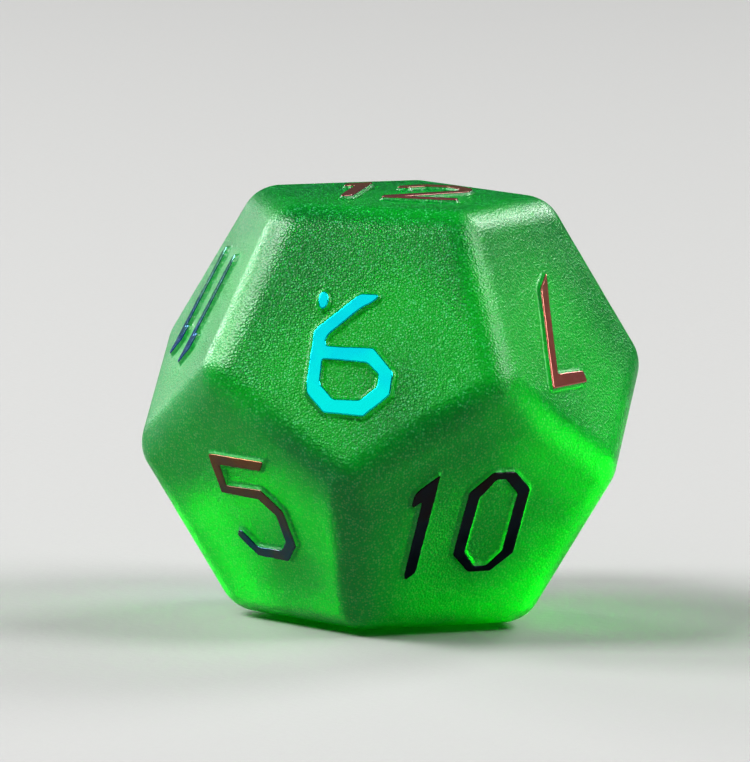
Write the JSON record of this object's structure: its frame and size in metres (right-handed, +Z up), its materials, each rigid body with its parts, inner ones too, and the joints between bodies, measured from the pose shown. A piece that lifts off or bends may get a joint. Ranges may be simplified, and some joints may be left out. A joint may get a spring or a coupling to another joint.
{
  "type": "twelve sided game die",
  "caption": "Rounded dodecahedron game die in frosted translucent green glass, with raised numerals topped by an iridescent mirror film.",
  "frame": {"origin": "on the surface the die rests on, straight below its centre, in the middle of the lowest numeral", "axes": "+Z up through the top face (numeral 12), -Y towards the front face (numeral 9), +X to the right of that face"},
  "size_m": [0.021, 0.022, 0.0189],
  "materials": {
    "frosted_glass": "sandblasted, translucent",
    "film_slate": "thin iridescent mirror film",
    "film_cyan": "thin iridescent mirror film",
    "film_rose": "thin iridescent mirror film",
    "film_brown": "thin iridescent mirror film",
    "film_violet": "thin iridescent mirror film",
    "film_dark": "thin iridescent mirror film"
  },
  "bodies": {
    "root": {"glass_body": "frosted_glass", "numeral_1": "film_slate", "numeral_2": "film_cyan", "numeral_3": "film_rose", "numeral_4": "film_slate", "numeral_5": "film_brown", "numeral_6": "film_cyan", "numeral_6_dot": "film_cyan", "numeral_7": "film_rose", "numeral_8": "film_violet", "numeral_9": "film_cyan", "numeral_9_dot": "film_cyan", "numeral_10_one": "film_dark", "numeral_10_zero": "film_dark", "numeral_11_left": "film_violet", "numeral_11_right": "film_violet", "numeral_12_one": "film_rose", "numeral_12_two": "film_rose"}
  },
  "joints": []
}
